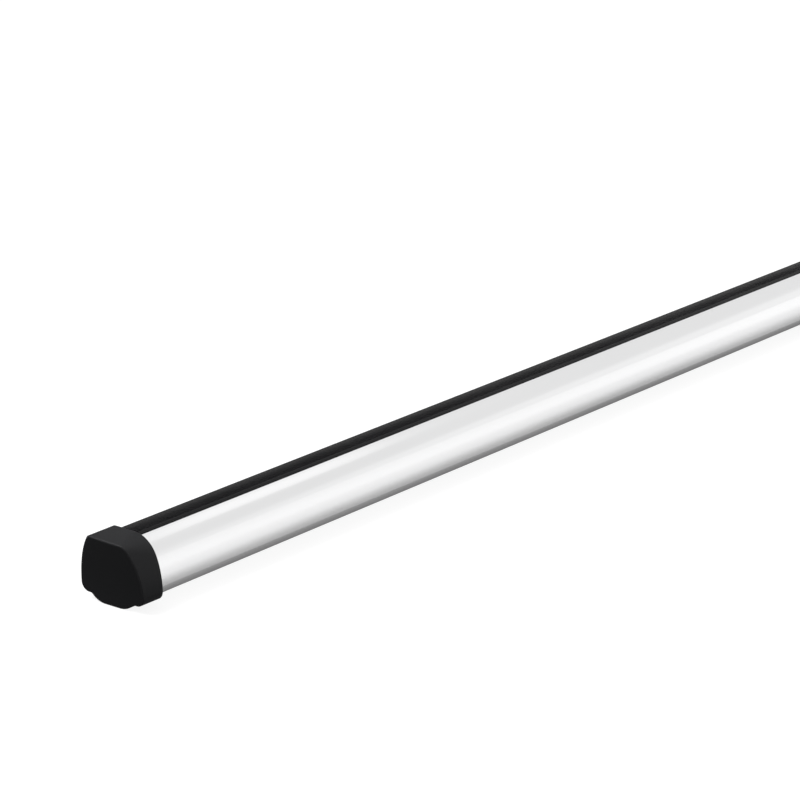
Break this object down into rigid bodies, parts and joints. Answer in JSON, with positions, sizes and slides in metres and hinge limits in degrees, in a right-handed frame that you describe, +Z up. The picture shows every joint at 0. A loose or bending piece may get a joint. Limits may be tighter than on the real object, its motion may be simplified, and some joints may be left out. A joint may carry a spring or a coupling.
{
  "type": "roof rack crossbar",
  "caption": "Hollow aluminium roof rack crossbar with a rubber infill strip in its top track and a black plug cap in each end.",
  "frame": {"origin": "under the middle of the bar, on the plane that the two caps rest on", "axes": "+X along the bar, +Y across it, +Z up through the track"},
  "size_m": [1.2, 0.0476, 0.0407],
  "materials": {
    "bar": "satin anodised",
    "strip": "smooth matt rubber",
    "cap": "fine grained moulded plastic"
  },
  "bodies": {
    "root": {"bar_extrusion": "bar", "top_strip": "strip", "left_end_cap": "cap", "right_end_cap": "cap"}
  },
  "joints": []
}
